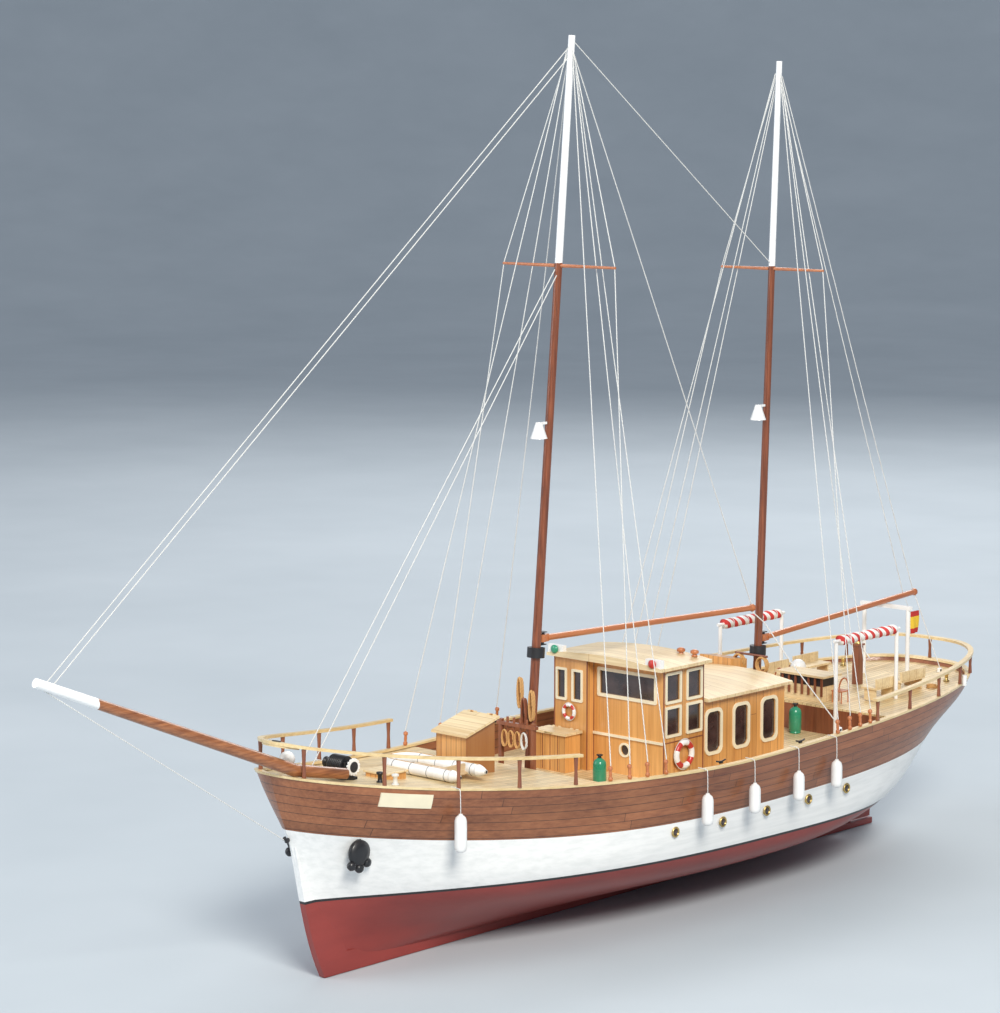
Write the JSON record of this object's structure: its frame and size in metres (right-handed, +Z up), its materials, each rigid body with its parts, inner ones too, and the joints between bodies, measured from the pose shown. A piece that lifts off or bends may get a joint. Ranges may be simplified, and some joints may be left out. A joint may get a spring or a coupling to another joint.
{
  "type": "radio controlled sailing boat",
  "caption": "Radio controlled ketch-rigged motor sailer with a planked hull, deckhouses, swinging booms, servo-driven rudder and propeller.",
  "frame": {"origin": "middle of the keel's flat underside, on the centre plane", "axes": "+Z up along the masts, +X to port, -Y towards the bowsprit"},
  "size_m": [0.241, 0.918, 0.6102],
  "materials": {
    "varnished_mahogany": "satin varnish, dark red-brown planking",
    "pale_limewood": "satin varnish, pale yellow planks",
    "orange_pine": "satin varnish, warm orange-brown",
    "white_paint": "glossy white enamel",
    "red_bottom_paint": "matt dark red antifouling",
    "cream_paint": "satin cream enamel",
    "brass": "lightly tarnished",
    "black_metal": "satin black",
    "steel": "bright ground",
    "rigging_thread": "waxed pale grey thread",
    "dark_glazing": "dark tinted",
    "green_enamel": "gloss green",
    "red_white_plastic": "red and white bands",
    "striped_canvas": "red and white stripes, rolled",
    "dinghy_fabric": "white coated fabric",
    "black_plastic": "moulded",
    "grey_plastic": "moulded",
    "flag_cloth": "plain banded cloth",
    "plywood": "bare, sealed"
  },
  "bodies": {
    "hull": {"hull_shell": "white_paint", "topside_planking": "varnished_mahogany", "keel_and_stem": "red_bottom_paint", "raised_decks": "pale_limewood", "main_deck": "pale_limewood", "deck_bulkheads": "varnished_mahogany", "bulwark_cap": "pale_limewood", "name_boards": "cream_paint", "hull_portholes": "brass", "rail_caps": "pale_limewood", "rail_posts": "varnished_mahogany", "bowsprit": "pale_limewood", "foremast": "varnished_mahogany", "mizzen_mast": "varnished_mahogany", "spreaders": "pale_limewood", "mast_fittings": "black_metal", "white_stanchions": "white_paint", "standing_rigging": "rigging_thread", "rigging_fittings": "brass", "boom_sheets": "rigging_thread", "wheelhouse_walls": "orange_pine", "wheelhouse_roof": "pale_limewood", "cabin_walls": "orange_pine", "companion_hood": "orange_pine", "window_frames": "cream_paint", "window_panes": "dark_glazing", "lamps": "white_paint", "companion_box": "orange_pine", "deck_locker": "orange_pine", "windlass_frame": "black_metal", "anchors": "black_metal", "dinghy": "dinghy_fabric", "aft_deck_furniture": "pale_limewood", "helm_pedestal": "varnished_mahogany", "awning_rolls": "striped_canvas", "fenders": "white_paint", "life_rings": "red_white_plastic", "gas_bottles": "green_enamel", "stern_tubes": "brass", "motor": "steel", "gear_trays": "plywood", "rudder_servo": "black_plastic", "battery": "grey_plastic", "receiver": "black_plastic"},
    "fore_hatch": {"companion_lid": "cream_paint"},
    "locker_hatch": {"locker_lid": "cream_paint"},
    "cabin_top": {"cabin_roof": "pale_limewood"},
    "windlass": {"windlass_drum": "black_metal"},
    "wheel": {"helm_wheel": "white_paint"},
    "drive_shaft": {"propeller_shaft": "steel", "propeller": "brass"},
    "rudder_assembly": {"rudder": "red_bottom_paint", "tiller_arm": "grey_plastic"},
    "servo_output": {"servo_horn": "black_plastic"},
    "steering_link": {"pushrod": "steel"},
    "main_boom_set": {"main_boom": "orange_pine", "main_topping_lift": "rigging_thread"},
    "mizzen_boom_set": {"mizzen_boom": "orange_pine", "mizzen_topping_lift": "rigging_thread", "flag": "flag_cloth"}
  },
  "joints": [
    {"name": "companion_lid_hinge", "type": "hinge", "parent": "hull", "child": "fore_hatch", "pos_m": [0, -0.1476, 0.15302], "axis": [-1, 0, 0], "range_deg": [0, 70]},
    {"name": "locker_lid_hinge", "type": "hinge", "parent": "hull", "child": "locker_hatch", "pos_m": [-0.0365, -0.0202, 0.11865], "axis": [-1, 0, 0], "range_deg": [0, 60]},
    {"name": "cabin_roof_lift", "type": "slide", "parent": "hull", "child": "cabin_top", "axis": [0, 0, 1], "range_m": [0, 0.02]},
    {"name": "windlass_spin", "type": "hinge", "parent": "hull", "child": "windlass", "pos_m": [0, -0.2826, 0.1384], "axis": [1, 0, 0], "continuous": true},
    {"name": "helm_wheel_spin", "type": "hinge", "parent": "hull", "child": "wheel", "pos_m": [0, 0.29, 0.1404], "axis": [0, 1, 0], "continuous": true},
    {"name": "propeller_spin", "type": "hinge", "parent": "hull", "child": "drive_shaft", "pos_m": [0, 0.254, 0.0198], "axis": [0, 0.9945, -0.1045], "continuous": true},
    {"name": "servo_turn", "type": "hinge", "parent": "hull", "child": "servo_output", "pos_m": [0, 0.225, 0.084], "axis": [0, 0, 1], "range_deg": [-35, 35]},
    {"name": "rudder_turn", "type": "hinge", "parent": "hull", "child": "rudder_assembly", "pos_m": [0, 0.2748, 0.084], "axis": [0, 0, 1], "range_deg": [-35, 35]},
    {"name": "pushrod_pivot", "type": "hinge", "parent": "servo_output", "child": "steering_link", "pos_m": [0.015, 0.225, 0.084], "axis": [0, 0, 1], "range_deg": [-35, 35]},
    {"name": "main_boom_swing", "type": "hinge", "parent": "hull", "child": "main_boom_set", "pos_m": [0, -0.08569, 0.1966], "axis": [0, 0.0843, 0.9964], "range_deg": [-15, 15]},
    {"name": "mizzen_boom_swing", "type": "hinge", "parent": "hull", "child": "mizzen_boom_set", "pos_m": [0, 0.1627, 0.1658], "axis": [0, 0.0416, 0.9991], "range_deg": [-12, 12]}
  ],
  "couplings": [
    {"joint": "rudder_turn", "follows": "servo_turn", "ratio": 1},
    {"joint": "pushrod_pivot", "follows": "servo_turn", "ratio": -1}
  ]
}
